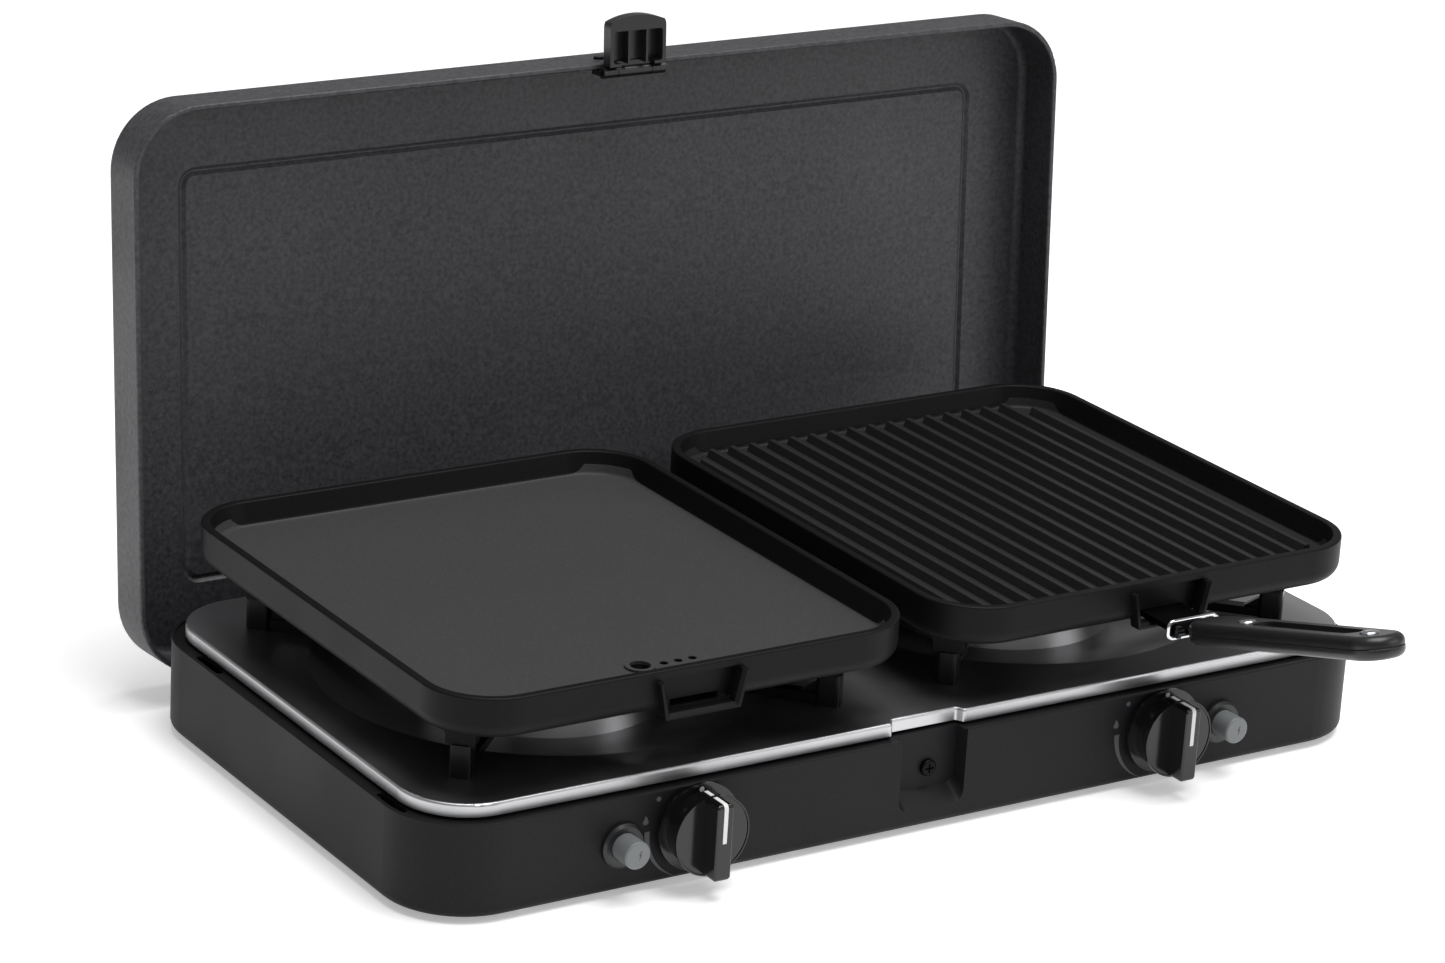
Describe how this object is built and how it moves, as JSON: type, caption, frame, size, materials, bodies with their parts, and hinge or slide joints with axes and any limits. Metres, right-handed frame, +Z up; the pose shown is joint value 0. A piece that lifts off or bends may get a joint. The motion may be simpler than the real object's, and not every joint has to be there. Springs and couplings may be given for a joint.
{
  "type": "camping stove",
  "caption": "Tabletop gas camping stove with an open hinged lid, burners under lift-off trivets, a flat griddle pan and a ribbed grill pan with a lift-off handle.",
  "frame": {"origin": "middle of the base, on the surface that the rubber feet stand on", "axes": "+Z up, +X along the stove's width towards the grill pan, -Y towards the front with the controls"},
  "size_m": [0.6175, 0.545, 0.3582],
  "materials": {
    "casing_powder_coat": "satin black powder coat on steel",
    "zinc_plate": "zinc-plated steel sheet",
    "rubber": "matt black rubber",
    "screw_steel": "bright zinc-plated steel screws",
    "stainless_top": "satin stainless steel",
    "brass": "machined brass",
    "cast_aluminium": "plain cast aluminium",
    "pipe_aluminium": "drawn aluminium tube",
    "burner_enamel": "matt black enamel",
    "probe_steel": "stainless probe and copper lead",
    "spark_ceramic": "white glazed ceramic with a steel rod",
    "lead_rubber": "black silicone cable",
    "knob_plastic": "glossy black plastic",
    "marker_white": "white inlay",
    "bezel_plastic": "satin black plastic",
    "button_plastic": "mid-grey plastic",
    "trivet_enamel": "black enamel on steel",
    "pan_nonstick": "black non-stick coating on cast aluminium",
    "handle_steel": "dark steel tongue",
    "handle_ring_chrome": "chromed steel wire",
    "handle_plastic": "satin black heat-proof plastic",
    "rivet_steel": "bright steel rivets",
    "lid_powder_coat": "fine-textured black powder coat on steel",
    "hinge_steel": "zinc-plated steel",
    "latch_plastic": "black nylon"
  },
  "bodies": {
    "base": {"base_casing": "casing_powder_coat", "base_floor": "zinc_plate", "rubber_feet": "rubber", "floor_screws": "screw_steel", "top_plate": "stainless_top", "gas_rail": "pipe_aluminium", "gas_inlet": "brass", "catch_screw": "screw_steel", "bracket_screws": "screw_steel", "burner_body_left": "cast_aluminium", "burner_body_right": "cast_aluminium", "burner_cap_left": "burner_enamel", "burner_cap_right": "burner_enamel", "burner_stand_left": "zinc_plate", "burner_stand_right": "zinc_plate", "gas_valve_left": "cast_aluminium", "gas_valve_right": "cast_aluminium", "injector_left": "brass", "injector_right": "brass", "thermocouple_left": "probe_steel", "thermocouple_right": "probe_steel", "electrode_left": "spark_ceramic", "electrode_right": "spark_ceramic", "ignition_lead_left": "lead_rubber", "ignition_lead_right": "lead_rubber", "button_bezel_left": "bezel_plastic", "button_bezel_right": "bezel_plastic", "igniter_module_left": "bezel_plastic", "igniter_module_right": "bezel_plastic", "hinge_bracket_left": "hinge_steel", "hinge_bracket_right": "hinge_steel", "hinge_pin_left": "hinge_steel", "hinge_pin_right": "hinge_steel"},
    "lid": {"lid_shell": "lid_powder_coat", "hinge_arm_left": "lid_powder_coat", "hinge_arm_right": "lid_powder_coat", "arm_screws": "screw_steel", "latch_bracket": "latch_plastic", "latch_pin": "hinge_steel", "latch_screws": "screw_steel"},
    "latch": {"latch_body": "latch_plastic"},
    "spindle_left": {"valve_spindle_left": "brass"},
    "knob_left": {"knob_left": "knob_plastic", "knob_marker_left": "marker_white"},
    "igniter_button_left": {"igniter_button_left": "button_plastic"},
    "trivet_left": {"trivet_left": "trivet_enamel"},
    "spindle_right": {"valve_spindle_right": "brass"},
    "knob_right": {"knob_right": "knob_plastic", "knob_marker_right": "marker_white"},
    "igniter_button_right": {"igniter_button_right": "button_plastic"},
    "trivet_right": {"trivet_right": "trivet_enamel"},
    "griddle_pan": {"griddle_pan": "pan_nonstick"},
    "grill_pan": {"grill_pan": "pan_nonstick"},
    "handle": {"handle_tongue": "handle_steel", "handle_lock_ring": "handle_ring_chrome", "handle_grip_upper": "handle_plastic", "handle_grip_lower": "handle_plastic", "handle_rivets": "rivet_steel"}
  },
  "joints": [
    {"name": "lid_hinge", "type": "hinge", "parent": "base", "child": "lid", "pos_m": [0, 0.13992, 0.03511], "axis": [-1, 0, 0], "range_deg": [-30, 0]},
    {"name": "latch_hinge", "type": "hinge", "parent": "lid", "child": "latch", "pos_m": [0, 0.17415, 0.32593], "axis": [1, 0, 0], "range_deg": [0, 90]},
    {"name": "knob_left_turn", "type": "hinge", "parent": "base", "child": "spindle_left", "pos_m": [-0.147, -0.157, 0.0324], "axis": [0, -1, 0], "range_deg": [0, 180]},
    {"name": "knob_left_push", "type": "slide", "parent": "spindle_left", "child": "knob_left", "axis": [0, 1, 0], "range_m": [0, 0.003], "stiffness_N_per_m": 800},
    {"name": "igniter_left_press", "type": "slide", "parent": "base", "child": "igniter_button_left", "axis": [0, 1, 0], "range_m": [0, 0.004], "stiffness_N_per_m": 800},
    {"name": "trivet_left_lift", "type": "slide", "parent": "base", "child": "trivet_left", "axis": [0, 0, 1], "range_m": [0, 0.03]},
    {"name": "knob_right_turn", "type": "hinge", "parent": "base", "child": "spindle_right", "pos_m": [0.147, -0.157, 0.0324], "axis": [0, -1, 0], "range_deg": [0, 180]},
    {"name": "knob_right_push", "type": "slide", "parent": "spindle_right", "child": "knob_right", "axis": [0, 1, 0], "range_m": [0, 0.003], "stiffness_N_per_m": 800},
    {"name": "igniter_right_press", "type": "slide", "parent": "base", "child": "igniter_button_right", "axis": [0, 1, 0], "range_m": [0, 0.004], "stiffness_N_per_m": 800},
    {"name": "trivet_right_lift", "type": "slide", "parent": "base", "child": "trivet_right", "axis": [0, 0, 1], "range_m": [0, 0.03]},
    {"name": "griddle_lift", "type": "slide", "parent": "trivet_left", "child": "griddle_pan", "axis": [0, 0, 1], "range_m": [0, 0.06]},
    {"name": "grill_lift", "type": "slide", "parent": "trivet_right", "child": "grill_pan", "axis": [0, 0, 1], "range_m": [0, 0.06]},
    {"name": "handle_pull", "type": "slide", "parent": "grill_pan", "child": "handle", "axis": [0, -1, 0], "range_m": [0, 0.03]}
  ]
}
